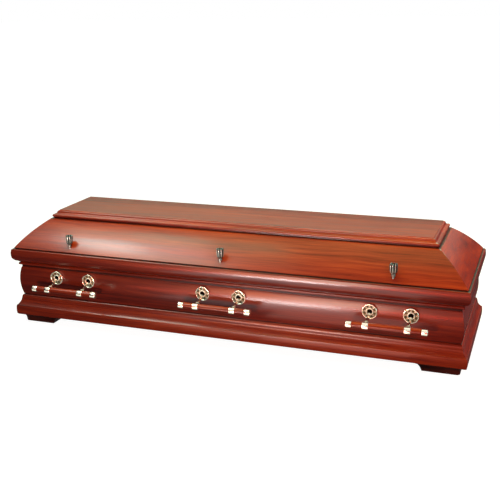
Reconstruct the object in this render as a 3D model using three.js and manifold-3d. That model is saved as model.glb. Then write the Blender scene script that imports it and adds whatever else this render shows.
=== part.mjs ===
// A lacquered wooden coffin: a hollow rectangular box on block feet, a raised lid that lifts off,
// six bar handles and six coffin screws. Millimetres, X along the length, Y across, Z up.
// The origin is on the ground under the middle. An inset is measured inwards from the plinth's face.

import * as THREE from "three";
import { mergeVertices } from "three/addons/utils/BufferGeometryUtils.js";
import Module from "manifold-3d";

const wasm = await Module();
wasm.setup();

// Footprint of the plinth.
const plinthLength = 2050;
const plinthWidth = 616;

// Clearances between neighbouring pieces.
const fitGap = 0.3;
const mitreGap = 0.2;
const mergeDistance = 1e-4;

// Block feet, each with a cove on its outer sides, a rounded outer corner and a wave on its inner ends.
const footHeight = 40;
const footLength = 197;
const footTopInset = 3.4;
const footLip = 5;
const footCoveTopInset = 13;
const footBottomInset = 27;
const footPlainHeight = 16;
const footWave = 21;
const footCornerRadius = 14;
const footLipRadius = 2;

// Base moulding: plain face, rounded arris, cove, fillet and quarter round.
const baseFaceHeight = 43;
const arrisRadius = 3;
const coveWidth = 16.5;
const coveHeight = 24;
const coveFullness = 0.8;
const filletHeight = 5;
const quarterRoundWidth = 8.5;
const quarterRoundHeight = 18;
const panelPlinthHeight = 4;

// Box: floor, walls with a swelling panel, and a bead along the top edge.
const floorThickness = 20;
const wallThickness = 24;
const panelHeight = 129;
const panelSwell = 8.7;
const recessDepth = 3;
const recessBevel = 1;
const recessHeight = 12;
const beadRadius = 7;
const beadStandOut = 2;
const beadTopFlat = 3;

// Rim of the lid.
const partingGrooveHeight = 8;
const rimUndercutInset = 13;
const rimUndercutHeight = 11;
const rimFaceHeight = 36;
const rimFaceSwell = 2;
const rimEdgeRadius = 7;
const rimLedge = 7;

// Convex slopes of the lid.
const slopeRun = 131;
const slopeRise = 121;
const slopeRadius = 560;
const slopeThickness = 20;
const slopeSeatWidth = 26;

// Top board with a double nose along its edge.
const topSeatInset = 10.5;
const noseRadius = 6.5;
const noseStandOut = 5.5;
const noseUndercut = 5;
const topCoveWidth = 11.5;
const topCoveHeight = 9;
const topNoseWidth = 5;
const topNoseHeight = 5;
const topStepWidth = 3;
const topStepHeight = 3.5;

// Bar handles, three on each long side.
const handleSpacing = 720;
const bracketSpacing = 164;
const rosetteHeight = 231;
const rosetteRadius = 31.5;
const rosetteRimHeight = 7;
const rosetteRimWidth = 5;
const rosetteRimRound = 2;
const rosetteDishDepth = 3.5;
const rosettePetals = 8;
const petalRelief = 1.5;
const barStandOff = 77.3;
const barDrop = 33;
const barRadius = 13;
const barOverhang = 78;
const ringWall = 2;
const ringWidth = 24;
const armRootRadius = 9;
const armWaistRadius = 4;
const armEndRadius = 7;
const capWidth = 23;
const capWall = 1.5;
const capEndThickness = 5;

// Coffin screws: a fluted tulip on a small ball, with a shank down into the lid.
const screwSpacing = 726;
const screwInset = 27.5;
const screwBallRadius = 8.5;
const screwBallRise = 6.5;
const screwHoleGap = 1;
const screwShankRadius = 4;
const screwShankLength = 60;
const tulipHeight = 42.5;
const tulipNeckRadius = 5;
const tulipRadius = 16.5;
const tulipWidestHeight = 22;
const tulipMouthRadius = 11;
const tulipPetals = 8;
const tulipFluteDepth = 1.8;

// How finely curved surfaces are faceted.
const curveSegments = 4;
const slopeSegments = 6;
const footSegments = 2;
const rosetteSides = 16;
const barSides = 10;
const armSides = 6;
const hardwareSegments = 2;
const tulipSides = 16;
const holeSides = 8;

// Heights and insets that follow from the sizes above.
const halfLength = plinthLength / 2;
const halfWidth = plinthWidth / 2;
const arrisTop = footHeight + baseFaceHeight;
const coveTop = arrisTop + coveHeight;
const filletTop = coveTop + filletHeight;
const baseTop = filletTop + quarterRoundHeight;
const panelInset = arrisRadius + coveWidth + quarterRoundWidth;
const floorTop = footHeight + floorThickness;
const wallInner = panelInset + wallThickness;
const panelBottom = baseTop + panelPlinthHeight;
const panelTop = panelBottom + panelHeight;
const beadInset = panelInset - beadStandOut;
const beadBottom = panelTop + recessHeight;
const bodyTop = beadBottom + 2 * beadRadius + beadTopFlat;
const rimBottom = bodyTop + partingGrooveHeight;
const rimFaceBottom = rimBottom + rimUndercutHeight;
const rimTop = rimFaceBottom + rimFaceHeight + rimEdgeRadius;
const slopeTop = rimTop + slopeRise;
const slopeTopInset = rimLedge + slopeRun;
const topBoardInset = slopeTopInset + topSeatInset;
const panelFace = halfWidth - panelInset + panelSwell;
const rosetteBack = -2 * panelSwell;
const slopeArc = arcThrough(rimLedge, rimTop, slopeTopInset, slopeTop, slopeRadius);

const lacqueredWood = new THREE.MeshStandardMaterial({ color: 0x7a2414, roughness: 0.18, metalness: 0 });
const antiqueBrass = new THREE.MeshStandardMaterial({ color: 0xb9a67c, roughness: 0.25, metalness: 1 });
const darkBronze = new THREE.MeshStandardMaterial({ color: 0x4a4038, roughness: 0.3, metalness: 1 });

const coffin = new THREE.Group();

// The centre of the arc of the given radius that rises from (x0, y0) to (x1, y1), bulging up and out.
function arcThrough(x0, y0, x1, y1, radius) {
  const halfChord = Math.hypot(x1 - x0, y1 - y0) / 2;
  const toCentre = Math.sqrt(Math.max(radius * radius - halfChord * halfChord, 0)) / (2 * halfChord);
  return {
    x: (x0 + x1) / 2 + toCentre * (y1 - y0),
    y: (y0 + y1) / 2 - toCentre * (x1 - x0),
  };
}

// The inset at which the arc of the given radius about the slope's centre reaches a height.
function slopeInsetAt(height, radius) {
  return slopeArc.x - Math.sqrt(radius * radius - (height - slopeArc.y) ** 2);
}

// The height at which the arc of the given radius about the slope's centre passes an inset.
function slopeHeightAt(inset, radius) {
  return slopeArc.y + Math.sqrt(radius * radius - (inset - slopeArc.x) ** 2);
}

function addMesh(parent, name, geometry, material) {
  const mesh = new THREE.Mesh(geometry, material);
  mesh.name = name;
  parent.add(mesh);
}

function solidOf(geometry) {
  const bare = geometry.clone();
  bare.deleteAttribute("normal");
  bare.deleteAttribute("uv");
  const merged = mergeVertices(bare, mergeDistance);
  return new wasm.Manifold(
    new wasm.Mesh({
      numProp: 3,
      vertProperties: merged.attributes.position.array,
      triVerts: new Uint32Array(merged.index.array),
    }),
  );
}

function geometryOf(solid) {
  const mesh = solid.getMesh();
  const geometry = new THREE.BufferGeometry();
  geometry.setAttribute("position", new THREE.BufferAttribute(mesh.vertProperties, 3));
  geometry.setIndex(new THREE.BufferAttribute(mesh.triVerts, 1));
  geometry.computeVertexNormals();
  return geometry;
}

// A moulded board along X, facing -Y, whose outline is drawn as inset and height.
// Both ends are cut at 45 degrees, so that four such boards meet in mitres at the corners.
function mitredBoard(outline, halfRun, halfSpan, segments) {
  const geometry = new THREE.ExtrudeGeometry(outline, {
    depth: 1,
    steps: 1,
    bevelEnabled: false,
    curveSegments: segments,
  });
  const position = geometry.attributes.position;
  for (let i = 0; i < position.count; i += 1) {
    const inset = position.getX(i);
    const height = position.getY(i);
    const end = 2 * position.getZ(i) - 1;
    position.setXYZ(i, end * (halfRun - inset - mitreGap), inset - halfSpan, height);
  }
  geometry.computeVertexNormals();
  return geometry;
}

// A block whose outline in plan changes with height: every level has as many corners as the first.
function loftedBlock(levels) {
  const start = levels[0].corners;
  const geometry = new THREE.ExtrudeGeometry(new THREE.Shape(start), {
    depth: 1,
    steps: levels.length - 1,
    bevelEnabled: false,
  });
  const position = geometry.attributes.position;
  const vertex = new THREE.Vector2();
  for (let i = 0; i < position.count; i += 1) {
    const level = levels[Math.round(position.getZ(i) * (levels.length - 1))];
    vertex.set(position.getX(i), position.getY(i));
    const distances = start.map((corner) => corner.distanceTo(vertex));
    const corner = level.corners[distances.indexOf(Math.min(...distances))];
    position.setXYZ(i, corner.x, corner.y, level.height);
  }
  geometry.computeVertexNormals();
  return geometry;
}

// The four sides of a rectangular frame, with the angle that turns a front board to each side.
const frameSides = [
  { place: "front", turn: 0, halfRun: halfLength, halfSpan: halfWidth },
  { place: "right", turn: Math.PI / 2, halfRun: halfWidth, halfSpan: halfLength },
  { place: "back", turn: Math.PI, halfRun: halfLength, halfSpan: halfWidth },
  { place: "left", turn: -Math.PI / 2, halfRun: halfWidth, halfSpan: halfLength },
];

function addFrame(parent, name, outline, segments, drilled) {
  for (const side of frameSides) {
    const turned = new THREE.Group();
    turned.rotation.z = side.turn;
    parent.add(turned);
    const board = mitredBoard(outline, side.halfRun, side.halfSpan, segments);
    const isLong = side.halfRun === halfLength;
    addMesh(turned, `${name}_${side.place}`, drilled && isLong ? drilled(board) : board, lacqueredWood);
  }
}

// Feet
function footProfile() {
  const path = new THREE.Path();
  path.moveTo(footBottomInset, 0);
  path.lineTo(footBottomInset, footPlainHeight);
  path.absellipse(
    footCoveTopInset,
    footPlainHeight,
    footBottomInset - footCoveTopInset,
    footHeight - footLip - footPlainHeight,
    0,
    Math.PI / 2,
    false,
  );
  path.lineTo(footTopInset, footHeight - footLip / 2);
  path.lineTo(footTopInset, footHeight);
  return path.getPoints(footSegments);
}

// The outline in plan of a foot at one height, from its inner corner round its outer one.
function footCorners(inset, height, sideX, sideY) {
  const wave = footWave * (0.5 + 0.5 * Math.cos((Math.PI * height) / footHeight));
  const inner = footLength - wave;
  const radius = THREE.MathUtils.lerp(footCornerRadius, footLipRadius, height / footHeight);
  const path = new THREE.Path();
  path.moveTo(inner, inner);
  path.lineTo(inset, inner);
  path.absarc(inset + radius, inset + radius, radius, Math.PI, 1.5 * Math.PI, false);
  path.lineTo(inner, inset);
  return path
    .getPoints(footSegments)
    .map((point) => new THREE.Vector2(sideX * (halfLength - point.x), sideY * (halfWidth - point.y)));
}

function addFeet(parent) {
  for (const [along, sideX] of [["left", -1], ["right", 1]]) {
    for (const [across, sideY] of [["front", -1], ["back", 1]]) {
      const levels = footProfile().map((point) => ({
        corners: footCorners(point.x, point.y, sideX, sideY),
        height: point.y,
      }));
      addMesh(parent, `foot_${across}_${along}`, loftedBlock(levels), lacqueredWood);
    }
  }
}

// Base
function baseMouldingOutline() {
  const outline = new THREE.Shape();
  outline.moveTo(panelInset, footHeight);
  outline.lineTo(0, footHeight);
  outline.lineTo(0, arrisTop - arrisRadius);
  outline.absarc(arrisRadius, arrisTop - arrisRadius, arrisRadius, Math.PI, Math.PI / 2, true);
  outline.quadraticCurveTo(
    arrisRadius + coveFullness * coveWidth,
    arrisTop + coveHeight / 2,
    arrisRadius + coveWidth,
    coveTop,
  );
  outline.lineTo(arrisRadius + coveWidth, filletTop);
  outline.absellipse(panelInset, filletTop, quarterRoundWidth, quarterRoundHeight, Math.PI, Math.PI / 2, true);
  return outline;
}

function addFloor(parent) {
  const edge = panelInset + fitGap;
  const floor = new THREE.BoxGeometry(2 * (halfLength - edge), 2 * (halfWidth - edge), floorThickness);
  floor.translate(0, 0, footHeight + floorThickness / 2);
  addMesh(parent, "floor_board", floor, lacqueredWood);
}

// Walls
function wallOutline() {
  const face = panelInset + fitGap;
  const outline = new THREE.Shape();
  outline.moveTo(wallInner, floorTop);
  outline.lineTo(face, floorTop);
  outline.lineTo(face, panelBottom);
  outline.quadraticCurveTo(
    face - 2 * panelSwell,
    (panelBottom + panelTop) / 2,
    face,
    panelTop,
  );
  outline.lineTo(panelInset + recessDepth, panelTop + recessBevel);
  outline.lineTo(panelInset + recessDepth, beadBottom);
  outline.lineTo(beadInset, beadBottom);
  outline.absarc(beadInset, beadBottom + beadRadius, beadRadius, -Math.PI / 2, -1.5 * Math.PI, true);
  outline.lineTo(beadInset, bodyTop);
  outline.lineTo(wallInner, bodyTop);
  return outline;
}

// Lid
function rimOutline() {
  const outline = new THREE.Shape();
  outline.moveTo(wallInner, bodyTop);
  outline.lineTo(beadInset, bodyTop);
  outline.lineTo(beadInset, rimBottom);
  outline.lineTo(rimUndercutInset, rimBottom);
  outline.absellipse(
    rimUndercutInset,
    rimFaceBottom,
    rimUndercutInset,
    rimUndercutHeight,
    -Math.PI / 2,
    -Math.PI,
    true,
  );
  outline.quadraticCurveTo(
    -2 * rimFaceSwell,
    rimFaceBottom + rimFaceHeight / 2,
    0,
    rimFaceBottom + rimFaceHeight,
  );
  outline.absarc(rimEdgeRadius, rimTop - rimEdgeRadius, rimEdgeRadius, Math.PI, Math.PI / 2, true);
  outline.lineTo(wallInner, rimTop);
  return outline;
}

function slopeOutline() {
  const innerRadius = slopeRadius - slopeThickness;
  const seatInset = slopeTopInset + slopeSeatWidth;
  const angleOf = (inset, height) => Math.atan2(height - slopeArc.y, inset - slopeArc.x);
  const innerStart = angleOf(seatInset, slopeHeightAt(seatInset, innerRadius));
  const innerEnd = angleOf(slopeInsetAt(rimTop, innerRadius), rimTop);
  const outline = new THREE.Shape();
  outline.moveTo(rimLedge, rimTop);
  outline.absarc(
    slopeArc.x,
    slopeArc.y,
    slopeRadius,
    angleOf(rimLedge, rimTop),
    angleOf(slopeTopInset, slopeTop),
    true,
  );
  outline.lineTo(seatInset, slopeTop);
  outline.absarc(slopeArc.x, slopeArc.y, innerRadius, innerStart, innerEnd, false);
  return outline;
}

function topBoardLevels() {
  const undercutTop = slopeTop + noseUndercut;
  const noseTop = undercutTop + 2 * noseRadius;
  const coveTopHeight = noseTop + topCoveHeight;
  const upperNoseTop = coveTopHeight + topNoseHeight;
  const upperNoseInset = topBoardInset + topCoveWidth;
  const path = new THREE.Path();
  path.moveTo(topBoardInset, slopeTop);
  path.lineTo(topBoardInset, undercutTop);
  path.absellipse(
    topBoardInset,
    undercutTop + noseRadius,
    noseStandOut,
    noseRadius,
    -Math.PI / 2,
    -1.5 * Math.PI,
    true,
  );
  path.absellipse(topBoardInset, coveTopHeight, topCoveWidth, topCoveHeight, -Math.PI / 2, 0, false);
  path.absellipse(
    upperNoseInset + topNoseWidth,
    coveTopHeight,
    topNoseWidth,
    topNoseHeight,
    Math.PI,
    Math.PI / 2,
    true,
  );
  path.lineTo(upperNoseInset + topNoseWidth + topStepWidth, upperNoseTop);
  path.lineTo(upperNoseInset + topNoseWidth + topStepWidth, upperNoseTop + topStepHeight);
  return path.getPoints(curveSegments).map((point) => ({
    corners: [[-1, -1], [1, -1], [1, 1], [-1, 1]].map(
      ([sideX, sideY]) => new THREE.Vector2(sideX * (halfLength - point.x), sideY * (halfWidth - point.x)),
    ),
    height: point.y,
  }));
}

// Coffin screws
const screwSurface = slopeHeightAt(screwInset, slopeRadius);
const screwBallCentre = screwSurface + screwBallRise;
const screwBottom = screwBallCentre - screwShankLength;

function screwProfile() {
  const fluteStart = screwBallCentre + screwBallRadius;
  const fluteEnd = fluteStart + tulipHeight;
  const widest = fluteStart + tulipWidestHeight;
  const path = new THREE.Path();
  path.moveTo(0, screwBottom);
  path.lineTo(screwShankRadius, screwBottom);
  path.absarc(
    0,
    screwBallCentre,
    screwBallRadius,
    -Math.acos(screwShankRadius / screwBallRadius),
    Math.acos(tulipNeckRadius / screwBallRadius),
    false,
  );
  path.quadraticCurveTo(tulipRadius, fluteStart, tulipRadius, widest);
  path.quadraticCurveTo(tulipRadius, (widest + 2 * fluteEnd) / 3, tulipMouthRadius, fluteEnd);
  path.lineTo(0, fluteEnd);
  return path.getPoints(hardwareSegments);
}

function screwGeometry() {
  const geometry = new THREE.LatheGeometry(screwProfile(), tulipSides);
  geometry.rotateX(Math.PI / 2);
  const position = geometry.attributes.position;
  const fluteStart = screwBallCentre + screwBallRadius;
  for (let i = 0; i < position.count; i += 1) {
    if (position.getZ(i) < fluteStart) continue;
    const angle = Math.atan2(position.getY(i), position.getX(i));
    const radius = Math.hypot(position.getX(i), position.getY(i));
    const flute = tulipFluteDepth * (0.5 - 0.5 * Math.cos(tulipPetals * angle)) * (radius / tulipRadius);
    const share = radius > 0 ? (radius - flute) / radius : 1;
    position.setX(i, position.getX(i) * share);
    position.setY(i, position.getY(i) * share);
  }
  return geometry;
}

// The hole that takes the shank, with a wider seat for the ball.
function screwHole(place) {
  const shankHole = screwShankRadius + screwHoleGap;
  const seatHole = screwBallRadius + screwHoleGap;
  const seatFloor = screwBallCentre - seatHole;
  const top = slopeTop + tulipHeight;
  const profile = [
    [0, screwBottom - screwHoleGap],
    [shankHole, screwBottom - screwHoleGap],
    [shankHole, seatFloor],
    [seatHole, seatFloor],
    [seatHole, top],
    [0, top],
  ];
  const geometry = new THREE.LatheGeometry(
    profile.map(([radius, height]) => new THREE.Vector2(radius, height)),
    holeSides,
  );
  geometry.rotateX(Math.PI / 2);
  geometry.translate(place, screwInset - halfWidth, 0);
  return solidOf(geometry);
}

const screwPlaces = [-screwSpacing, 0, screwSpacing];

function drilledForScrews(board) {
  const drilled = screwPlaces.reduce((solid, place) => solid.subtract(screwHole(place)), solidOf(board));
  return geometryOf(drilled);
}

// Handles
function rosetteGeometry() {
  const rim = rosetteRadius;
  const rimTopInner = rim - rosetteRimWidth;
  const dish = rosetteRimHeight - rosetteDishDepth;
  const petalRadius = (rimTopInner + armRootRadius) / 2;
  const profile = [
    [0, rosetteBack],
    [rim, rosetteBack],
    [rim, rosetteRimHeight - rosetteRimRound],
    [rim - rosetteRimWidth / 2, rosetteRimHeight],
    [rimTopInner, dish],
    [petalRadius, dish],
    [0, dish],
  ];
  const geometry = new THREE.LatheGeometry(
    profile.map(([radius, height]) => new THREE.Vector2(radius, height)),
    rosetteSides,
  );
  const position = geometry.attributes.position;
  for (let i = 0; i < position.count; i += 1) {
    const radius = Math.hypot(position.getX(i), position.getZ(i));
    if (Math.abs(radius - petalRadius) > 1 || position.getY(i) < 0) continue;
    const angle = Math.atan2(position.getX(i), position.getZ(i));
    position.setY(i, position.getY(i) + petalRelief * Math.cos(rosettePetals * angle));
  }
  geometry.rotateX(Math.PI);
  return geometry;
}

function armGeometry() {
  const reach = barStandOff - rosetteRimHeight;
  const end = Math.hypot(reach, barDrop) - barRadius - fitGap - ringWall / 2;
  const path = new THREE.Path();
  path.moveTo(0, -armRootRadius);
  path.lineTo(armRootRadius, 0);
  path.quadraticCurveTo(armWaistRadius, end / 2, armEndRadius, end);
  path.lineTo(0, end);
  const geometry = new THREE.LatheGeometry(path.getPoints(hardwareSegments), armSides);
  geometry.rotateX(Math.atan2(-barDrop, -reach));
  geometry.translate(0, -rosetteRimHeight, 0);
  return geometry;
}

// A sleeve along X about the bar's axis.
function ringGeometry() {
  const inner = barRadius + fitGap;
  const outer = inner + ringWall;
  const profile = [
    [inner, -ringWidth / 2],
    [outer, -ringWidth / 2],
    [outer, ringWidth / 2],
    [inner, ringWidth / 2],
    [inner, -ringWidth / 2],
  ];
  const geometry = new THREE.LatheGeometry(
    profile.map(([radius, height]) => new THREE.Vector2(radius, height)),
    barSides,
  );
  geometry.rotateZ(-Math.PI / 2);
  geometry.translate(0, -barStandOff, -barDrop);
  return geometry;
}

// A stretch of the wall behind a rosette, moved out by the fitting gap, which shapes the rosette's back.
function wallCutter() {
  const geometry = new THREE.ExtrudeGeometry(wallOutline(), {
    depth: 1,
    steps: 1,
    bevelEnabled: false,
    curveSegments,
  });
  const position = geometry.attributes.position;
  for (let i = 0; i < position.count; i += 1) {
    const inset = position.getX(i) - fitGap;
    const height = position.getY(i);
    const across = 4 * rosetteRadius * (position.getZ(i) - 0.5);
    position.setXYZ(i, across, inset - halfWidth + panelFace, height - rosetteHeight);
  }
  return solidOf(geometry);
}

function bracketGeometry() {
  const bracket = solidOf(rosetteGeometry())
    .subtract(wallCutter())
    .add(solidOf(armGeometry()))
    .add(solidOf(ringGeometry()));
  return geometryOf(bracket);
}

function capGeometry() {
  const bore = barRadius + fitGap;
  const outer = bore + capWall;
  const profile = [
    [0, 0],
    [outer, 0],
    [outer, capWidth],
    [bore, capWidth],
    [bore, capEndThickness],
    [0, capEndThickness],
  ];
  const geometry = new THREE.LatheGeometry(
    profile.map(([radius, height]) => new THREE.Vector2(radius, height)),
    barSides,
  );
  geometry.rotateZ(-Math.PI / 2);
  return geometry;
}

const bracketShape = bracketGeometry();
const capShape = capGeometry();
const barHalf = bracketSpacing / 2 + barOverhang;
const barLength = 2 * (barHalf - capEndThickness - fitGap);

function addHandle(parent, name, place, flip) {
  const handle = new THREE.Group();
  handle.position.set(place, -panelFace, rosetteHeight);
  parent.add(handle);
  for (const end of [-1, 1]) {
    const label = end * flip < 0 ? "left" : "right";
    const bracket = new THREE.Group();
    bracket.position.x = (end * bracketSpacing) / 2;
    handle.add(bracket);
    addMesh(bracket, `${name}_bracket_${label}`, bracketShape, antiqueBrass);
    const cap = new THREE.Group();
    cap.position.set(end * barHalf, -barStandOff, -barDrop);
    cap.rotation.y = end < 0 ? 0 : Math.PI;
    handle.add(cap);
    addMesh(cap, `${name}_cap_${label}`, capShape, antiqueBrass);
  }
  const bar = new THREE.CylinderGeometry(barRadius, barRadius, barLength, barSides);
  bar.rotateZ(Math.PI / 2);
  bar.translate(0, -barStandOff, -barDrop);
  addMesh(handle, `${name}_bar`, bar, lacqueredWood);
}

function addHardware(parent) {
  for (const side of [
    { place: "front", turn: 0, flip: 1 },
    { place: "back", turn: Math.PI, flip: -1 },
  ]) {
    const turned = new THREE.Group();
    turned.rotation.z = side.turn;
    parent.add(turned);
    screwPlaces.forEach((screwPlace, index) => {
      const label = ["left", "middle", "right"][side.flip > 0 ? index : 2 - index];
      addHandle(turned, `handle_${side.place}_${label}`, (index - 1) * handleSpacing, side.flip);
      const screw = new THREE.Group();
      screw.position.set(screwPlace, screwInset - halfWidth, 0);
      turned.add(screw);
      addMesh(screw, `screw_${side.place}_${label}`, screwGeometry(), darkBronze);
    });
  }
}

addFeet(coffin);
addFrame(coffin, "base_moulding", baseMouldingOutline(), curveSegments);
addFloor(coffin);
addFrame(coffin, "wall", wallOutline(), curveSegments);
addFrame(coffin, "lid_rim", rimOutline(), curveSegments, drilledForScrews);
addFrame(coffin, "lid_slope", slopeOutline(), slopeSegments, drilledForScrews);
addMesh(coffin, "lid_top_board", loftedBlock(topBoardLevels()), lacqueredWood);
addHardware(coffin);

export default coffin;
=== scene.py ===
from math import atan2, copysign, cos, degrees, floor, hypot, pi, radians, sin, sqrt, tau

import bmesh
import bpy
from mathutils import Matrix, Vector


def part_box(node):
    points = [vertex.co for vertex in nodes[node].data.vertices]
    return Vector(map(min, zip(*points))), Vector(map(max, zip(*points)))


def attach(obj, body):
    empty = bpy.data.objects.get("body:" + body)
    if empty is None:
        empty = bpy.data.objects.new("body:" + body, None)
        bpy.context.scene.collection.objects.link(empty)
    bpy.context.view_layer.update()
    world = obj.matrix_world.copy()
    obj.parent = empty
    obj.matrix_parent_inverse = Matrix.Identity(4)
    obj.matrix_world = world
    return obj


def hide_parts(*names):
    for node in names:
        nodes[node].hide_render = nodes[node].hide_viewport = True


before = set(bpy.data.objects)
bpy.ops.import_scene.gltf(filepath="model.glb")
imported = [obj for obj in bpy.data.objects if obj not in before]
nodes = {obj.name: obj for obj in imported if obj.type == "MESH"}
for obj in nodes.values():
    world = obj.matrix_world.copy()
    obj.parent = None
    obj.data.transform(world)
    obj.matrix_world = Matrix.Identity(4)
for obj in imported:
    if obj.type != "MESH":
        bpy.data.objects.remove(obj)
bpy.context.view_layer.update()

MM = 0.001

# Sizes in millimetres, read from the parts in model.glb.
base_front_low, base_front_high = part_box("base_moulding_front")
base_right_low, base_right_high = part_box("base_moulding_right")
wall_low, wall_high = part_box("wall_front")
rim_low, rim_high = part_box("lid_rim_front")
slope_low, slope_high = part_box("lid_slope_front")
top_low, top_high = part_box("lid_top_board")
floor_low, floor_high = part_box("floor_board")
HALF_LENGTH = base_right_high.x / MM
HALF_WIDTH = -base_front_low.y / MM
FOOT_HEIGHT = base_front_low.z / MM
BASE_TOP = base_front_high.z / MM
FLOOR_TOP = floor_high.z / MM
BODY_TOP = wall_high.z / MM
SLOPE_BOTTOM = slope_low.z / MM
SLOPE_TOP = slope_high.z / MM
TOP = top_high.z / MM

# Feet
FOOT_LENGTH = 197
FOOT_TOP_INSET = 3.4
FOOT_LIP = 5
FOOT_COVE_TOP_INSET = 13
FOOT_BOTTOM_INSET = 27
FOOT_PLAIN_HEIGHT = 16
FOOT_WAVE = 21
FOOT_CORNER = 14
FOOT_LIP_CORNER = 2

# Base moulding
BASE_FACE = 43
BASE_SWELL = 1.6
ARRIS = 3
COVE_WIDTH = 15.5
COVE_HEIGHT = 25
FILLET_HEIGHT = 4
FILLET_LEDGE = 1.5
QUARTER_ROUND = (8, 18)

# Walls
PANEL_INSET = 28
PANEL_SWELL = 8.7
PANEL_HEIGHT = 129
PANEL_PLINTH = 4
PANEL_QUIRK = 3
WALL = 24
RECESS_DEPTH = 3
RECESS_HEIGHT = 12
BEAD = 6.5
BEAD_INSET = 26.8
FIT = 0.3

# Lid
GROOVE_HEIGHT = 3
GROOVE_INSET = 20
RIM_UNDERCUT = (15, 16)
RIM_FACE = 36
RIM_SWELL = 2
RIM_EDGE = 7
RIM_LEDGE = 7
SLOPE_RUN = 131
SLOPE_RADIUS = 560
SLOPE_THICKNESS = 20
SLOPE_SEAT = 26
SLOPE_QUIRK = (6, 4.5)
TOP_SEAT = 10.5
NOSE = (5.5, 6.5)
NOSE_UNDERCUT = 5
TOP_COVE = (11.5, 9)
TOP_NOSE = (5, 5)
TOP_STEP = (3, 3.5)

# Handles
PANEL_FACE = 288.7
ROSETTE_HEIGHT = 231
ROSETTE_RADIUS = 31.5
ROSETTE_RIM = 7
RIM_WIRE = 2.7
DISH_RADIUS = 26
BOSS_RADIUS = 13
HOLE_RADIUS = 9.5
PETALS = 8
ARM_BALL = 5.6
ARM_RADIUS = 5.6
COLLAR = (9.4, 6.5)
BAR_STAND_OFF = 77.3
BAR_DROP = 33
BAR_RADIUS = 13
RING_WIDTH = 24
RING_OUTER = 15.3

# Coffin screws
TULIP_HEIGHT = 42.5
TULIP_RADIUS = 16.5
TULIP_PETALS = 8
FLUTE_DEPTH = 0.36
BALL_RADIUS = 8.5

# The camera that took the photograph, in metres and radians.
PHOTO_SIZE = 500
FOCAL_PIXELS = 828.6
SENSOR = 36
CAMERA_PLACE = Vector((1.2729, -3.3333, 1.4194))
CAMERA_YAW = 0.3572
CAMERA_PITCH = 0.2921
CAMERA_ROLL = -0.0209

# Grooves painted dark as painted shade, with the gloss coat thinned there too, as heights and half widths
PAINTED_SHADE_LINES = (
    (BASE_TOP + 2, 2.5), (SLOPE_BOTTOM - 85, 5), (BODY_TOP + 1.5, 4), (SLOPE_BOTTOM + 2, 3.6), (SLOPE_TOP + 2, 3.6),
)

ARC_STEPS = 10
EASE = 1.2
CORNER_EASE = 1.8
CORNER_STEPS = 4
HIP_EASE = 2.6
BODY = "root"


def colour(red, green, blue):
    """A colour given as it looks on screen, from 0 to 255, for Blender's linear sockets."""
    def linear(value):
        value /= 255
        return value / 12.92 if value <= 0.04045 else ((value + 0.055) / 1.055) ** 2.4
    return (linear(red), linear(green), linear(blue), 1)


# Finishes
class Wire:
    """A value in a finish. Sums on it add Math nodes."""

    def __init__(self, finish, socket):
        self.finish = finish
        self.socket = socket

    def math(self, operation, *values):
        return self.finish.node("ShaderNodeMath", {"operation": operation}, values)

    def __add__(self, other):
        return self.math("ADD", self, other)

    def __radd__(self, other):
        return self.math("ADD", other, self)

    def __sub__(self, other):
        return self.math("SUBTRACT", self, other)

    def __rsub__(self, other):
        return self.math("SUBTRACT", other, self)

    def __mul__(self, other):
        return self.math("MULTIPLY", self, other)

    def __rmul__(self, other):
        return self.math("MULTIPLY", other, self)

    def __pow__(self, other):
        return self.math("POWER", self, other)

    def __lt__(self, other):
        return self.math("LESS_THAN", self, other)

    def __gt__(self, other):
        return self.math("GREATER_THAN", self, other)

    def __abs__(self):
        return self.math("ABSOLUTE", self)


class Finish:
    """A material whose nodes are added one call at a time."""

    def __init__(self, name):
        self.material = bpy.data.materials.new(name)
        self.material.use_nodes = True
        self.tree = self.material.node_tree
        self.shader = self.tree.nodes["Principled BSDF"]

    def node(self, kind, settings=None, inputs=(), output=0):
        made = self.tree.nodes.new(kind)
        for name, value in (settings or {}).items():
            if name == "stops":
                for spare in list(made.color_ramp.elements)[1:]:
                    made.color_ramp.elements.remove(spare)
                made.color_ramp.elements[0].position = value[0][0]
                made.color_ramp.elements[0].color = value[0][1]
                for place, shade in value[1:]:
                    made.color_ramp.elements.new(place).color = shade
            else:
                setattr(made, name, value)
        for key, value in inputs.items() if isinstance(inputs, dict) else enumerate(inputs):
            if isinstance(value, Wire):
                self.tree.links.new(value.socket, made.inputs[key])
            else:
                made.inputs[key].default_value = value
        return Wire(self, made.outputs[output])

    def place(self):
        return self.node("ShaderNodeTexCoord", output="Object")

    def parts(self, vector):
        return [self.node("ShaderNodeSeparateXYZ", {}, [vector], output=axis) for axis in "XYZ"]

    def joined(self, x, y, z):
        return self.node("ShaderNodeCombineXYZ", {}, [x, y, z])

    def stretched(self, vector, scale, shift=(0, 0, 0)):
        return self.node("ShaderNodeMapping", {}, {"Vector": vector, "Location": shift, "Scale": scale})

    def noise(self, vector, scale=1, detail=4, roughness=0.55, distortion=0):
        return self.node("ShaderNodeTexNoise", {}, {
            "Vector": vector, "Scale": scale, "Detail": detail, "Roughness": roughness, "Distortion": distortion,
        })

    def ranged(self, value, low, high, to_low=0, to_high=1):
        return self.node("ShaderNodeMapRange", {"clamp": True}, [value, low, high, to_low, to_high])

    def mix(self, share, first, second, blend="MIX"):
        return self.node("ShaderNodeMix", {"data_type": "RGBA", "blend_type": blend},
                         {0: share, 6: first, 7: second}, output=2)

    def bump(self, height, strength, distance):
        return self.node("ShaderNodeBump", {}, {"Height": height, "Strength": strength, "Distance": distance})

    def feed(self, **inputs):
        for name, value in inputs.items():
            socket = self.shader.inputs[name.replace("_", " ")]
            if isinstance(value, Wire):
                self.tree.links.new(value.socket, socket)
            else:
                socket.default_value = value
        return self.material


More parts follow.
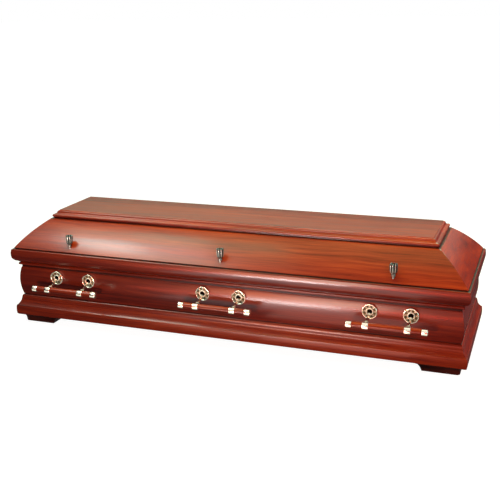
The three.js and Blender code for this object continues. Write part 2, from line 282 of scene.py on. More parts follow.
def lacquered_wood(name, light, middle, dark, seed=0.0):
    """Red mahogany under clear gloss lacquer, with its grain along each board."""
    wood = Finish(name)
    x, y, z = wood.parts(wood.place())
    from_end = HALF_LENGTH * MM - abs(x)
    from_side = HALF_WIDTH * MM - abs(y)
    on_end = (from_end < from_side) * (z < (TOP - TOP_STEP[1] / 2) * MM)
    along = x + on_end * (y - x)
    across = y + on_end * (x - y)
    figure = wood.noise(wood.joined(along * 2.6 + on_end * 3.7, across * 5 + seed, z * 5), 1, 2, 0.45)
    bend = (figure - 0.5) * (0.02 + on_end * 0.10)
    board = wood.joined(along + on_end * 3.7, across + bend + seed, z + bend + (y > 0) * 1.9)
    bands = wood.noise(wood.stretched(board, (0.7, 11, 11)), 1, 3, 0.5, 0.2)
    streaks = wood.noise(wood.stretched(board, (2.4, 62, 62)), 1, 5, 0.6, 0.25)
    fine = wood.noise(wood.stretched(board, (7, 300, 300)), 1, 3, 0.6)
    pores = wood.noise(wood.stretched(board, (26, 620, 620)), 1, 2, 0.5)
    tone = wood.ranged(bands, 0.3, 0.7) * 0.34 + wood.ranged(streaks, 0.3, 0.7) * 0.4 + wood.ranged(fine, 0.3, 0.7) * 0.26
    base = wood.node("ShaderNodeValToRGB", {"stops": [(0.14, dark), (0.46, middle), (0.82, light)]}, [tone])
    pore_mask = wood.ranged(pores, 0.62, 0.72)
    base = wood.mix(pore_mask * 0.3, base, dark)
    mitre = abs(from_end - from_side) + (z > (TOP - TOP_STEP[1] / 2) * MM)
    base = wood.mix(wood.ranged(mitre, 0.0003, 0.0009, 0.75, 0), base, colour(30, 6, 4))
    # Painted shade: dark lines along the grooves, where the gloss coat is thinned as well.
    painted_shade = 0
    for height, reach in PAINTED_SHADE_LINES:
        painted_shade = painted_shade + wood.ranged(abs(z - height * MM), 0.5 * reach * MM, reach * MM, 1, 0)
    base = wood.mix(painted_shade * 0.85, base, colour(24, 4, 2))
    ripple = wood.noise(wood.stretched(board, (3, 14, 14)), 1, 2, 0.4)
    surface = wood.bump(ripple + fine * 0.03 - pore_mask * 0.02, 0.05, 0.01)
    return wood.feed(
        Base_Color=base,
        Roughness=wood.ranged(streaks, 0.3, 0.7, 0.36, 0.48),
        Specular_IOR_Level=0.25,
        Coat_Weight=1 - painted_shade * 0.85,
        Coat_Roughness=0.2,
        Coat_IOR=1.45,
        Normal=surface,
    )


def cast_metal(name, bright, dull, low, high):
    """Polished metal, darker where the mesh's recess attribute is high: partly patina in the hollows, partly painted
    shade.
    """
    metal = Finish(name)
    recess = metal.node("ShaderNodeAttribute", {"attribute_name": "recess"}, output="Fac")
    spots = metal.noise(metal.place(), 260, 4, 0.6)
    depth = metal.ranged(recess + (spots - 0.5) * 0.25, 0.05, 0.95)
    # The last stop, near black, is painted shade in holes and inside the tulip's cup.
    shades = [(0, bright), (0.3, bright), (0.7, dull), (1, colour(12, 8, 6))]
    base = metal.node("ShaderNodeValToRGB", {"stops": shades}, [depth])
    return metal.feed(
        Base_Color=base,
        Metallic=1.0,
        Roughness=metal.ranged(depth + (spots - 0.5) * 0.1, 0, 0.3, low, high),
    )


# Making pieces
class Outline:
    """The section of a moulding, as insets from the plinth's face and heights, in millimetres."""

    def __init__(self, inset, height):
        self.points = [(inset, height)]

    def to(self, inset, height):
        if hypot(inset - self.points[-1][0], height - self.points[-1][1]) > 1e-6:
            self.points.append((inset, height))
        return self

    def arc(self, inset, height, reach, rise, start, stop, steps=ARC_STEPS):
        for step in range(steps + 1):
            angle = radians(start + (stop - start) * step / steps)
            self.to(inset + reach * cos(angle), height + rise * sin(angle))
        return self

    def curve(self, pull_inset, pull_height, inset, height, steps=ARC_STEPS):
        first_inset, first_height = self.points[-1]
        for step in range(1, steps + 1):
            share = step / steps
            near, middle, far = (1 - share) ** 2, 2 * share * (1 - share), share ** 2
            self.to(
                near * first_inset + middle * pull_inset + far * inset,
                near * first_height + middle * pull_height + far * height,
            )
        return self

    def eased(self, radius=EASE, steps=3, closed=True):
        """The same section with its sharp corners rounded a little."""
        made = []
        count = len(self.points)
        for index, point in enumerate(self.points):
            here = Vector(point)
            before = Vector(self.points[index - 1]) - here
            after = Vector(self.points[(index + 1) % count]) - here
            is_end = not closed and index in (0, count - 1)
            if is_end or min(before.length, after.length) < 2 * radius or before.angle(after) > radians(140):
                made.append(point)
                continue
            start = here + before.normalized() * radius
            stop = here + after.normalized() * radius
            for step in range(steps + 1):
                share = step / steps
                made.append(tuple((1 - share) ** 2 * start + 2 * share * (1 - share) * here + share ** 2 * stop))
        return made


def settle(mesh, sharp=38):
    """Merges what coincides, turns faces out and marks the edges that stay sharp."""
    bmesh.ops.remove_doubles(mesh, verts=mesh.verts, dist=1e-6)
    bmesh.ops.recalc_face_normals(mesh, faces=mesh.faces)
    for face in mesh.faces:
        face.smooth = True
    for edge in mesh.edges:
        edge.smooth = edge.calc_face_angle(0) < radians(sharp)


METAL_PIECES = bpy.data.collections.new("metal fittings")


def finished(name, mesh, material, slot, *replaced, weighted=True):
    data = bpy.data.meshes.new(name)
    mesh.to_mesh(data)
    mesh.free()
    data.materials.append(material)
    piece = bpy.data.objects.new(name, data)
    bpy.context.scene.collection.objects.link(piece)
    if slot != "lacquered_wood":
        METAL_PIECES.objects.link(piece)
    if weighted:
        weigh = piece.modifiers.new("even shading", "WEIGHTED_NORMAL")
        weigh.keep_sharp = True
    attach(piece, BODY)
    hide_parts(*replaced)
    return piece


def mitred_frame(points, closed=True, corner_ease=CORNER_EASE):
    """A moulding run round all four sides: each point of the section becomes a rectangle with eased corners."""
    mesh = bmesh.new()
    turn = mesh.verts.layers.float.new("turn")
    bmesh.ops.create_circle(mesh, cap_ends=False, segments=4 * CORNER_STEPS, radius=1)
    for corner in mesh.verts:
        corner[turn] = (atan2(corner.co.y, corner.co.x) + pi / (4 * CORNER_STEPS)) % tau
    loop = mesh.edges[:]
    first = loop

    def set_loop(corners, inset, height):
        reach = inset + corner_ease
        for corner in corners:
            quarter = floor(corner[turn] / (pi / 2))
            share = corner[turn] / (pi / 2) - quarter
            angle = (quarter + (share * CORNER_STEPS - 0.5) / (CORNER_STEPS - 1)) * pi / 2
            corner.co = (
                (copysign(HALF_LENGTH - reach, cos(corner[turn])) + corner_ease * cos(angle)) * MM,
                (copysign(HALF_WIDTH - reach, sin(corner[turn])) + corner_ease * sin(angle)) * MM,
                height * MM,
            )

    set_loop(mesh.verts[:], *points[0])
    for inset, height in points[1:]:
        grown = bmesh.ops.extrude_edge_only(mesh, edges=loop)["geom"]
        corners = [item for item in grown if isinstance(item, bmesh.types.BMVert)]
        loop = [
            item for item in grown
            if isinstance(item, bmesh.types.BMEdge) and all(end in corners for end in item.verts)
        ]
        set_loop(corners, inset, height)
    if closed:
        bmesh.ops.bridge_loops(mesh, edges=first + loop)
    else:
        bmesh.ops.edgeloop_fill(mesh, edges=first)
        bmesh.ops.edgeloop_fill(mesh, edges=loop)
    settle(mesh)
    return mesh


def spun(profile, steps, axis="Z"):
    """A turned shape: the profile is radius and height in millimetres, from pole to pole or a closed ring."""
    mesh = bmesh.new()
    corners = [mesh.verts.new((radius * MM, 0, height * MM)) for radius, height in profile]
    for near, far in zip(corners, corners[1:]):
        mesh.edges.new((near, far))
    bmesh.ops.spin(
        mesh, geom=mesh.verts[:] + mesh.edges[:], axis=(0, 0, 1), cent=(0, 0, 0),
        angle=tau, steps=steps, use_merge=True, use_duplicate=False,
    )
    settle(mesh)
    turn = {"X": Matrix.Rotation(pi / 2, 4, "Y"), "Y": Matrix.Rotation(pi / 2, 4, "X"), "Z": Matrix.Identity(4)}
    bmesh.ops.transform(mesh, matrix=turn[axis], verts=mesh.verts)
    return mesh


def note_patina_and_shade(mesh, depth_of):
    """Writes how deep each point lies, from 0 to 1, for darkening the metal's colour: partly patina, partly painted
    shade.
    """
    layer = mesh.verts.layers.float.get("recess") or mesh.verts.layers.float.new("recess")
    for corner in mesh.verts:
        corner[layer] = max(0, min(1, depth_of(corner.co)))


def added(mesh, other):
    """Puts one mesh into another, as parts of one casting."""
    data = bpy.data.meshes.new("part")
    other.to_mesh(data)
    other.free()
    mesh.from_mesh(data)
    bpy.data.meshes.remove(data)


def moved(mesh, matrix):
    copy = mesh.copy()
    bmesh.ops.transform(copy, matrix=matrix, verts=copy.verts)
    return copy


# Wood
RED = lacquered_wood("lacquered wood", colour(206, 70, 24), colour(170, 47, 16), colour(112, 25, 9))
DARK_RED = lacquered_wood("lacquered wood of the box", colour(190, 58, 20), colour(152, 37, 14), colour(96, 19, 8), 5.3)
# Painted shade: a darker copy of the lacquered wood, for feet that stand in shadow by the floor.
SHADED_FOOT_RED = lacquered_wood("lacquered wood of the feet in painted shade", colour(112, 30, 12), colour(86, 20, 8), colour(56, 11, 5), 2.1)


def base_moulding():
    cove_bottom = FOOT_HEIGHT + BASE_FACE
    cove_top = cove_bottom + COVE_HEIGHT
    fillet = ARRIS + COVE_WIDTH
    fillet_top = cove_top + FILLET_HEIGHT
    outline = Outline(PANEL_INSET, FOOT_HEIGHT).to(0, FOOT_HEIGHT)
    outline.curve(-2 * BASE_SWELL, (FOOT_HEIGHT + cove_bottom) / 2, 0, cove_bottom - ARRIS)
    outline.arc(ARRIS, cove_bottom - ARRIS, ARRIS, ARRIS, 180, 90, 5)
    outline.curve(ARRIS + 0.8 * COVE_WIDTH, (cove_bottom + cove_top) / 2, fillet, cove_top)
    outline.to(fillet, fillet_top).to(fillet + FILLET_LEDGE, fillet_top)
    outline.arc(fillet + FILLET_LEDGE + QUARTER_ROUND[0], fillet_top, *QUARTER_ROUND, 180, 90)
    outline.to(PANEL_INSET, BASE_TOP)
    sides = [f"base_moulding_{side}" for side in ("front", "right", "back", "left")]
    finished("base_moulding", mitred_frame(outline.eased()), RED, "lacquered_wood", *sides)


def walls():
    panel_bottom = BASE_TOP + PANEL_PLINTH
    panel_top = panel_bottom + PANEL_HEIGHT
    bead_bottom = panel_top + RECESS_HEIGHT
    face = PANEL_INSET + FIT
    quirk = PANEL_INSET + PANEL_QUIRK
    outline = Outline(PANEL_INSET + WALL, FLOOR_TOP).to(quirk, FLOOR_TOP).to(quirk, panel_bottom)
    outline.to(face, panel_bottom)
    outline.curve(face - 2 * PANEL_SWELL, (panel_bottom + panel_top) / 2, face, panel_top, 2 * ARC_STEPS)
    outline.to(PANEL_INSET + RECESS_DEPTH, panel_top + 1)
    outline.to(PANEL_INSET + RECESS_DEPTH, bead_bottom)
    outline.to(BEAD_INSET, bead_bottom)
    outline.arc(BEAD_INSET, bead_bottom + BEAD, BEAD, BEAD, -90, -270)
    outline.to(BEAD_INSET, BODY_TOP).to(PANEL_INSET + WALL, BODY_TOP)
    sides = [f"wall_{side}" for side in ("front", "right", "back", "left")]
    finished("walls", mitred_frame(outline.eased(0.7)), DARK_RED, "lacquered_wood", *sides)


def lid_rim():
    bottom = BODY_TOP + GROOVE_HEIGHT
    face_bottom = bottom + RIM_UNDERCUT[1]
    face_top = face_bottom + RIM_FACE
    inner = PANEL_INSET + WALL
    outline = Outline(inner, BODY_TOP).to(GROOVE_INSET, BODY_TOP).to(GROOVE_INSET, bottom)
    outline.to(RIM_UNDERCUT[0] + 3, bottom)
    outline.curve(RIM_UNDERCUT[0] * 0.62, bottom + 1, 1.2, face_bottom - 1.5).to(0, face_bottom + 1)
    outline.curve(-2 * RIM_SWELL, (face_bottom + face_top) / 2, 0, face_top)
    outline.arc(RIM_EDGE, face_top, RIM_EDGE, RIM_EDGE, 180, 90)
    outline.to(inner, SLOPE_BOTTOM)
    sides = [f"lid_rim_{side}" for side in ("front", "right", "back", "left")]
    finished("lid_rim", mitred_frame(outline.eased()), DARK_RED, "lacquered_wood", *sides)


def lid_slopes():
    low = Vector((RIM_LEDGE, SLOPE_BOTTOM))
    high = Vector((RIM_LEDGE + SLOPE_RUN, SLOPE_TOP))
    half_chord = (high - low).length / 2
    to_centre = sqrt(SLOPE_RADIUS ** 2 - half_chord ** 2) / (2 * half_chord)
    centre = (low + high) / 2 + to_centre * Vector((high.y - low.y, low.x - high.x))
    inner = SLOPE_RADIUS - SLOPE_THICKNESS
    seat = high.x + SLOPE_SEAT

    def angle_of(inset, height):
        return degrees(atan2(height - centre.y, inset - centre.x))

    seat_height = centre.y + sqrt(inner ** 2 - (seat - centre.x) ** 2)
    foot_inset = centre.x - sqrt(inner ** 2 - (SLOPE_BOTTOM - centre.y) ** 2)
    quirk_depth, quirk_height = SLOPE_QUIRK
    lip = SLOPE_BOTTOM + quirk_height
    lip_inset = centre.x - sqrt(SLOPE_RADIUS ** 2 - (lip - centre.y) ** 2)
    outline = Outline(lip_inset + quirk_depth, SLOPE_BOTTOM).to(lip_inset + quirk_depth, lip)
    outline.arc(*centre, SLOPE_RADIUS, SLOPE_RADIUS, angle_of(lip_inset, lip), angle_of(*high), 2 * ARC_STEPS)
    outline.to(seat, SLOPE_TOP)
    outline.arc(*centre, inner, inner, angle_of(seat, seat_height), angle_of(foot_inset, SLOPE_BOTTOM), 2 * ARC_STEPS)
    sides = [f"lid_slope_{side}" for side in ("front", "right", "back", "left")]
    finished("lid_slopes", mitred_frame(outline.eased(0.8), corner_ease=HIP_EASE), RED, "lacquered_wood", *sides)


def lid_top():
    inset = RIM_LEDGE + SLOPE_RUN + TOP_SEAT
    nose_bottom = SLOPE_TOP + NOSE_UNDERCUT
    cove_bottom = nose_bottom + 2 * NOSE[1]
    cove_top = cove_bottom + TOP_COVE[1]
    upper = inset + TOP_COVE[0]
    step = upper + TOP_NOSE[0] + TOP_STEP[0]
    outline = Outline(inset, SLOPE_TOP)
    outline.arc(inset, nose_bottom + NOSE[1], *NOSE, -90, -270)
    outline.arc(inset, cove_top, *TOP_COVE, -90, 0)
    outline.arc(upper + TOP_NOSE[0], cove_top, *TOP_NOSE, 180, 90)
    outline.to(step, TOP - TOP_STEP[1]).to(step, TOP).to(step + 30, TOP)
    points = outline.eased(closed=False)
    finished("lid_top", mitred_frame(points, closed=False), RED, "lacquered_wood", "lid_top_board")


def foot_profile():
    outline = Outline(FOOT_BOTTOM_INSET, 0).to(FOOT_BOTTOM_INSET, FOOT_PLAIN_HEIGHT)
    cove = (FOOT_BOTTOM_INSET - FOOT_COVE_TOP_INSET, FOOT_HEIGHT - FOOT_LIP - FOOT_PLAIN_HEIGHT)
    outline.arc(FOOT_COVE_TOP_INSET, FOOT_PLAIN_HEIGHT, *cove, 0, 90)
    outline.to(FOOT_TOP_INSET, FOOT_HEIGHT - FOOT_LIP / 2).to(FOOT_TOP_INSET, FOOT_HEIGHT)
    return outline.points


def foot_plan(inset, height, side_x, side_y):
    """The outline of a foot at one height, from its inner corner round its outer one."""
    inner = FOOT_LENGTH - FOOT_WAVE * (0.5 + 0.5 * cos(pi * height / FOOT_HEIGHT))
    radius = FOOT_CORNER + (FOOT_LIP_CORNER - FOOT_CORNER) * height / FOOT_HEIGHT
    plan = Outline(inner, inner).to(inset, inner)
    plan.arc(inset + radius, inset + radius, radius, radius, 180, 270)
    plan.to(inner, inset)
    return [
        Vector((side_x * (HALF_LENGTH - along), side_y * (HALF_WIDTH - across), height)) * MM
        for along, across in plan.points
    ]


def feet():
    for along, side_x in (("left", -1), ("right", 1)):
        for across, side_y in (("front", -1), ("back", 1)):
            mesh = bmesh.new()
            profile = foot_profile()
            below = [mesh.verts.new(place) for place in foot_plan(*profile[0], side_x, side_y)]
            bottom = mesh.faces.new(below)
            level = [bottom]
            for inset, height in profile[1:]:
                grown = bmesh.ops.extrude_face_region(mesh, geom=level)["geom"]
                level = [item for item in grown if isinstance(item, bmesh.types.BMFace)]
                places = foot_plan(inset, height, side_x, side_y)
                for corner, place in zip(level[0].verts, places):
                    corner.co = place
            settle(mesh, 50)
            name = f"foot_{across}_{along}"
            finished(f"shaped_{name}", mesh, SHADED_FOOT_RED, "lacquered_wood", name)


# Metal
BRASS = cast_metal("antique brass", colour(250, 243, 224), colour(98, 88, 62), 0.12, 0.4)
BRONZE = cast_metal("dark bronze", colour(132, 130, 122), colour(26, 19, 15), 0.14, 0.34)


def rosette():
    """A dished plate with a round rim, and a raised ring about the dark hole that the arm comes out of."""
    rim = Outline(0, -10).to(ROSETTE_RADIUS - 0.8, -10).to(ROSETTE_RADIUS - 0.2, ROSETTE_RIM - RIM_WIRE - 2)
    rim.arc(ROSETTE_RADIUS - RIM_WIRE, ROSETTE_RIM - RIM_WIRE, RIM_WIRE, RIM_WIRE, -10, 190, 10)
    rim.to(DISH_RADIUS - 1, 1.8).to(DISH_RADIUS - 3, 1.1).to(DISH_RADIUS - 5, 1.3).to(BOSS_RADIUS + 4, 1.5)
    rim.arc(BOSS_RADIUS, 3.4, 2.3, 3.0, -20, 190, 8)
    rim.to(HOLE_RADIUS, 0.3).to(0, 0.3)
    mesh = spun(rim.points, 64)
    for corner in mesh.verts:
        radius = hypot(corner.co.x, corner.co.y) / MM
        if BOSS_RADIUS + 3 < radius < DISH_RADIUS and corner.co.z > 0:
            share = sin(pi * (radius - BOSS_RADIUS - 3) / (DISH_RADIUS - BOSS_RADIUS - 3))
            corner.co.z += 1.5 * MM * cos(PETALS * atan2(corner.co.y, corner.co.x)) * share

    def depth(place):
        radius = hypot(place.x, place.y) / MM
        if radius > DISH_RADIUS + 0.2:
            return 0.05
        # Painted shade: the hole is painted near black.
        if radius < HOLE_RADIUS + 0.1:
            return 1.4
        # Darker deep in the dish and lighter on its raised parts: partly patina, partly painted shade.
        return 0.78 - place.z / MM * 0.08

    note_patina_and_shade(mesh, depth)
    bmesh.ops.transform(mesh, matrix=Matrix.Rotation(pi / 2, 4, "X"), verts=mesh.verts)
    return mesh


def arm():
    """A cast arm from a ball in the rosette to a collar on the bar's ring."""
    ball = Vector((0, -9, -8))
    reach = Vector((0, -BAR_STAND_OFF, -BAR_DROP)) - ball
    length = reach.length - BAR_RADIUS - 1
    collar = length - COLLAR[1]
    profile = Outline(0, -ARM_BALL).arc(0, 0, ARM_BALL, ARM_BALL, -70, 48, 8)
    profile.curve(ARM_RADIUS * 0.85, length * 0.3, ARM_RADIUS, length * 0.55)
    profile.curve(ARM_RADIUS * 1.05, collar - 2, COLLAR[0] - 1, collar)
    profile.to(COLLAR[0], collar + 1).to(COLLAR[0], length).to(0, length)
    mesh = spun(profile.points, 32)
    for corner in mesh.verts:
        angle = atan2(corner.co.y, corner.co.x)
        height = corner.co.z / MM
        share = max(0, min(1, (height - 5) / 10)) * max(0, min(1, (collar - 4 - height) / 6))
        swell = 1 + share * 0.18 * cos(3 * angle)
        corner.co.x *= swell
        corner.co.y *= swell

    def depth(place):
        if place.z > collar * MM:
            return 0.3
        return 0.1

    note_patina_and_shade(mesh, depth)
    turn = Vector((0, 0, 1)).rotation_difference(reach).to_matrix().to_4x4()
    bmesh.ops.transform(mesh, matrix=Matrix.Translation(ball * MM) @ turn, verts=mesh.verts)
    neck = spun(Outline(0, -6).to(4.2, -6).to(3.4, 4).to(3.4, 9).to(0, 9).points, 24)
    note_patina_and_shade(neck, lambda place: 0.6)
    bmesh.ops.transform(
        neck, matrix=Matrix.Translation((0, 0, ball.z * MM)) @ Matrix.Rotation(pi / 2, 4, "X"), verts=neck.verts,
    )
    added(mesh, neck)
    return mesh


def ring():
    half = RING_WIDTH / 2
    inner = BAR_RADIUS + FIT
    section = Outline(inner, -half).to(RING_OUTER - 0.8, -half)
    section.arc(RING_OUTER - 0.8, -half + 0.8, 0.8, 0.8, -90, 0, 4)
    section.arc(RING_OUTER - 0.8, half - 0.8, 0.8, 0.8, 0, 90, 4)
    section.to(inner, half).to(inner, -half)
    mesh = spun(section.points, 64, "X")
    note_patina_and_shade(mesh, lambda place: 0)
    bmesh.ops.transform(mesh, matrix=Matrix.Translation(Vector((0, -BAR_STAND_OFF, -BAR_DROP)) * MM), verts=mesh.verts)
    return mesh


def bracket_mesh():
    mesh = rosette()
    added(mesh, arm())
    added(mesh, ring())
    return mesh


def cap_mesh(length, outer):
    """A cap on the end of a bar, closed and domed towards +X."""
    inner = BAR_RADIUS + FIT
    section = Outline(0, -length + 5).to(inner, -length + 5).to(inner, 0).to(outer - 0.6, 0)
    section.arc(outer - 0.6, -0.6, 0.6, 0.6, 90, 0, 3)
    section.arc(outer - 2.4, -length + 2.4, 2.4, 2.4, 0, -90, 6)
    section.to(outer * 0.55, -length + 0.9).to(outer * 0.5, -length - 0.2).to(0, -length - 0.2)
    mesh = spun(section.points, 64, "X")
    bmesh.ops.transform(mesh, matrix=Matrix.Scale(-1, 4, (1, 0, 0)), verts=mesh.verts)
    bmesh.ops.recalc_face_normals(mesh, faces=mesh.faces)
    note_patina_and_shade(mesh, lambda place: 0)
    return mesh


def handles():
    bracket = bracket_mesh()
    for name in sorted(nodes):
        low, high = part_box(name)
        middle = (low + high) / 2
        side = -1 if middle.y < 0 else 1
        turn = Matrix.Rotation(0 if side < 0 else pi, 4, "Z")
        if "_bracket_" in name:
            place = Matrix.Translation((middle.x, side * PANEL_FACE * MM, ROSETTE_HEIGHT * MM))
            finished(f"cast_{name}", moved(bracket, place @ turn), BRASS, "antique_brass", name, weighted=False)
        elif "_cap_" in name:
            length = (high.x - low.x) / MM
            outer = (high.z - low.z) / 2 / MM
            bar_low, bar_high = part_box(name.split("_cap_")[0] + "_bar")
            points_right = middle.x > (bar_low.x + bar_high.x) / 2
            mesh = cap_mesh(length, outer)
            start = low.x if points_right else high.x
            flip = Matrix.Rotation(0 if points_right else pi, 4, "Z")
            place = Matrix.Translation((start, middle.y, middle.z))
            bmesh.ops.transform(mesh, matrix=place @ flip, verts=mesh.verts)
            finished(f"spun_{name}", mesh, BRASS, "antique_brass", name, weighted=False)
        elif name.endswith("_bar"):
            half = (high.x - low.x) / 2 / MM
            section = Outline(0, -half).to(BAR_RADIUS - 1, -half).to(BAR_RADIUS, -half + 1)
            section.to(BAR_RADIUS, half - 1).to(BAR_RADIUS - 1, half).to(0, half)
            mesh = spun(section.points, 64, "X")
            bmesh.ops.transform(mesh, matrix=Matrix.Translation(middle), verts=mesh.verts)
            finished(f"turned_{name}", mesh, RED, "lacquered_wood", name, weighted=False)


def screw_mesh(shank):
    """A fluted tulip on a ball, with its shank below. The origin is the centre of the ball."""
    section = Outline(0, -shank).to(4, -shank)
    section.arc(0, 0, BALL_RADIUS, BALL_RADIUS, -55, 50, 10)
    foot = BALL_RADIUS - 2
    section.to(TULIP_RADIUS * 0.34, foot - 1).to(TULIP_RADIUS * 0.6, foot + 1.5)
    section.curve(TULIP_RADIUS * 0.86, foot + 5, TULIP_RADIUS * 0.96, foot + TULIP_HEIGHT * 0.33)
    section.curve(TULIP_RADIUS * 1.02, foot + TULIP_HEIGHT * 0.6, TULIP_RADIUS, foot + TULIP_HEIGHT * 0.86)
    section.curve(TULIP_RADIUS * 0.92, foot + TULIP_HEIGHT, TULIP_RADIUS * 0.7, foot + TULIP_HEIGHT)
    section.to(TULIP_RADIUS * 0.5, foot + TULIP_HEIGHT * 0.86).to(0, foot + TULIP_HEIGHT * 0.78)
    mesh = spun(section.points, 16 * TULIP_PETALS)
    for corner in mesh.verts:
        height = corner.co.z / MM - foot
        radius = hypot(corner.co.x, corner.co.y) / MM
        if height <= 0 or radius < 0.5:
            continue
        groove = flute(corner.co)
        share = 1 - FLUTE_DEPTH * groove * min(1, height / 8) * min(1, radius / TULIP_RADIUS + 0.1)
        corner.co.x *= share
        corner.co.y *= share
        if height > TULIP_HEIGHT * 0.6:
            corner.co.z -= 6 * MM * groove * (height / TULIP_HEIGHT - 0.6) / 0.4

    def depth(place):
        height = place.z / MM - foot
        # Painted shade: near black inside the cup, and darker in the flutes, partly as patina.
        inside = hypot(place.x, place.y) < TULIP_RADIUS * 0.55 * MM and height > TULIP_HEIGHT * 0.6
        return 1 if inside else (0.1 + 1.5 * flute(place) if height > 2 else 0.3)

    note_patina_and_shade(mesh, depth)
    return mesh


def flute(place):
    """How far a point lies into the groove between two petals, from 0 on a petal's crest to 1."""
    turn = TULIP_PETALS / 2 * (atan2(place.y, place.x) + pi / 2)
    return (1 - abs(cos(turn))) ** 1.3


def coffin_screws():
    for name in sorted(nodes):
        if not name.startswith("screw_"):
            continue
        low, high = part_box(name)
        ball = high.z - (TULIP_HEIGHT + BALL_RADIUS - 2) * MM
        place = Vector(((low.x + high.x) / 2, (low.y + high.y) / 2, ball))
        mesh = screw_mesh((ball - low.z) / MM)
        bmesh.ops.transform(mesh, matrix=Matrix.Translation(place), verts=mesh.verts)
        finished(f"fluted_{name}", mesh, BRONZE, "dark_bronze", name, weighted=False)


def inside():
    nodes["floor_board"].data.materials.clear()
    nodes["floor_board"].data.materials.append(DARK_RED)


# Studio
def studio_floor():
    pale = Finish("pale floor")
    x, y, z = pale.parts(pale.place())
    beyond = pale.ranged((x * x * 0.35 + y * y) ** 0.5, 0.5, 1.6)
    pale.feed(
        Base_Color=(0.3, 0.3, 0.3, 1), Roughness=0.9, Specular_IOR_Level=0.1,
        Emission_Color=pale.mix(beyond, (0.97, 0.97, 0.97, 1), (1, 1, 1, 1)), Emission_Strength=1.0,
    )
    mesh = bmesh.new()
    bmesh.ops.create_grid(mesh, x_segments=1, y_segments=1, size=60)
    data = bpy.data.meshes.new("studio_floor")
    mesh.to_mesh(data)
    mesh.free()
    data.materials.append(pale.material)
    ground = bpy.data.objects.new("studio_floor", data)
    bpy.context.scene.collection.objects.link(ground)
    ground.visible_glossy = False
    ground.visible_diffuse = False


def studio_world():
    world = bpy.data.worlds.new("studio")
    bpy.context.scene.world = world
    world.use_nodes = True
    sky = Finish.__new__(Finish)
    sky.tree = world.node_tree
    backdrop = sky.tree.nodes["Background"]
    room = 0.05
    seen = sky.node("ShaderNodeLightPath", output="Is Camera Ray")
    strength = room + seen * (1 - room)
    sky.tree.links.new(strength.socket, backdrop.inputs["Strength"])
    backdrop.inputs["Color"].default_value = (1, 1, 1, 1)


def area_light(name, place, facing, width, height, glow):
    """A rectangular light. Glow is its radiance in red, green and blue."""
    strongest = max(glow)
    light = bpy.data.lights.new(name, "AREA")
    light.shape = "RECTANGLE"
    light.size = width
    light.size_y = height
    light.energy = pi * width * height * strongest
    light.color = [share / strongest for share in glow]
    lamp = bpy.data.objects.new(name, light)
    lamp.location = place
    lamp.rotation_euler = Vector(facing).to_track_quat("-Z", "Y").to_euler()
    lamp.visible_camera = False
    bpy.context.scene.collection.objects.link(lamp)
    return lamp


def reflector(name, place, facing, width, height, glow):
    """A card that shows only in gloss, as a white board beside the camera does."""
    area_light(name, place, facing, width, height, glow).visible_diffuse = False


def metal_card(name, place, facing, width, height, glow):
    """A card that shows only in the handles and screws."""
    card = area_light(name, place, facing, width, height, glow)
    card.light_linking.receiver_collection = METAL_PIECES


def lamp(name, place, facing, width, height, glow):
    """A soft lamp that lights the wood without showing in its gloss."""
    area_light(name, place, facing, width, height, glow).visible_glossy = False


def high_softbox():
    """The box high on the left, brightest in the middle, that shows in the front slope."""
    tiles = {
        (-1.65, -1.4): (7.1, 6.1, 4.9), (-1.65, -0.95): (11.8, 15.8, 14.8), (-1.65, -0.5): (4.0, 3.7, 2.6),
        (-1.1, -1.4): (3.2, 5.4, 4.3), (-1.1, -0.95): (4.3, 4.6, 4.4), (-1.1, -0.5): (3.2, 5.0, 3.6),
        (-0.55, -1.4): (0.2, 0.4, 0.3), (-0.55, -0.95): (0.4, 0.9, 0.5), (-0.55, -0.5): (1.3, 2.1, 1.2),
    }
    for (x, y), glow in tiles.items():
        reflector(f"high softbox {x} {y}", (x, y, 2.2), (0, 0, -1), 0.55, 0.45, glow)


def metal_cards():
    metal_card("ceiling for metal", (-0.6, 0, 3.2), (0, 0, -1), 6, 5.5, (1.1, 1.06, 0.98))
    for side in (-1, 1):
        wall = (-0.6, side * 3.6, 2.2)
        metal_card(f"wall for metal {side}", wall, (0, -side, 0), 6, 2, (1.0, 0.98, 0.92))
        strip = (-0.4, side * 0.85, 0.006)
        metal_card(f"floor for metal {side}", strip, (0, 0, 1), 3.6, 0.8, (0.95, 0.92, 0.84))


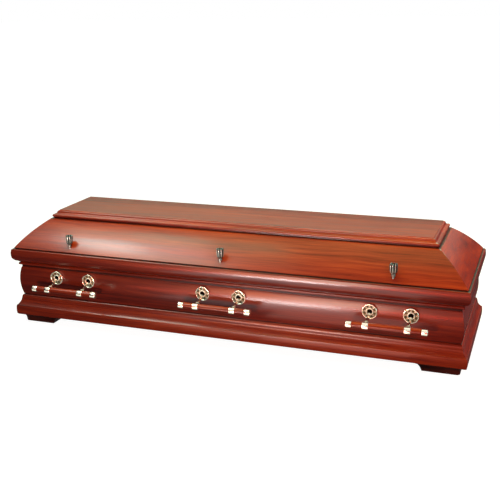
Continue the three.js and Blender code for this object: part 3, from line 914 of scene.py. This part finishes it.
def studio_lights():
    metal_cards()
    high_softbox()
    reflector("front card left", (-0.9, -3.3, 0.3), (0, 1, 0), 0.7, 0.6, (10.8, 3.0, 1.0))
    reflector("front card", (-0.2, -3.3, 0.3), (0, 1, 0), 0.7, 0.6, (13.6, 9.4, 7.1))
    reflector("front card right", (1.2, -3.3, 0.3), (0, 1, 0), 0.7, 0.6, (5.4, 0.5, 0.3))
    reflector("floor card", (-0.2, -2.0, 0.004), (0, 0, 1), 0.65, 0.7, (50, 47.4, 46.5))
    reflector("floor card near", (-0.2, -1.15, 0.004), (0, 0, 1), 0.65, 0.9, (0.6, 1.2, 1.2))
    reflector("floor card left", (-0.85, -2.0, 0.004), (0, 0, 1), 0.65, 0.7, (15, 1.6, 0.8))
    reflector("floor card far", (-0.2, -2.8, 0.004), (0, 0, 1), 0.65, 0.9, (12.3, 1.0, 0.5))
    reflector("floor card right near", (0.45, -0.6, 0.004), (0, 0, 1), 0.65, 0.3, (2.0, 1.0, 0.8))
    reflector("floor card right", (0.45, -1.15, 0.004), (0, 0, 1), 0.65, 0.8, (1.4, 1.2, 1.1))
    reflector("floor card far right", (0.45, -2.8, 0.004), (0, 0, 1), 0.65, 0.9, (28.7, 1.5, 0.6))
    reflector("back card", (-0.5, 3, 3.4), (0, -0.7, -0.7), 6, 2, (2.6, 6.4, 4.6))
    reflector("back card right", (1.9, 4, 1.35), (0, -1, 0), 1.4, 0.5, (0.6, 0.5, 0.45))
    reflector("right card", (3.2, -0.3, 0.9), (-1, 0, 0), 2.5, 1.4, (1.2, 2.2, 2.2))
    reflector("right card high", (2.4, 0, 2.4), (-0.7, 0, -0.7), 1.6, 0.4, (0.6, 0.6, 0.6))
    lamp("low lamp", (0.1, -3.07, 0.45), (0, 1, 0), 0.2, 0.15, (178, 144, 50))
    lamp("overhead", (0.2, 0, 3.0), (0, 0, -1), 2.4, 1.6, (6.0, 7.4, 2.4))
    lamp("right lamp", (3.2, 0.3, 1.2), (-1, 0, -0.2), 1.5, 1.2, (6.0, 3.0, 2.0))
    lamp("right front lamp", (2.3, -2.4, 1.6), (-0.6, 0.6, -0.4), 0.5, 0.5, (21, 6, 2))


def camera():
    forward = Vector((-sin(CAMERA_YAW) * cos(CAMERA_PITCH), cos(CAMERA_YAW) * cos(CAMERA_PITCH), -sin(CAMERA_PITCH)))
    level = Vector((cos(CAMERA_YAW), sin(CAMERA_YAW), 0))
    up = level.cross(forward)
    right = cos(CAMERA_ROLL) * level + sin(CAMERA_ROLL) * up
    up = cos(CAMERA_ROLL) * up - sin(CAMERA_ROLL) * level
    data = bpy.data.cameras.new("photo_camera")
    data.sensor_width = SENSOR
    data.lens = FOCAL_PIXELS / PHOTO_SIZE * SENSOR
    eye = bpy.data.objects.new("photo_camera", data)
    eye.matrix_world = Matrix.Translation(CAMERA_PLACE) @ Matrix((right, up, -forward)).transposed().to_4x4()
    bpy.context.scene.collection.objects.link(eye)
    bpy.context.scene.camera = eye


base_moulding()
walls()
lid_rim()
lid_slopes()
lid_top()
feet()
handles()
coffin_screws()
inside()
studio_floor()
studio_world()
studio_lights()
camera()
bpy.context.scene.view_settings.view_transform = "Standard"
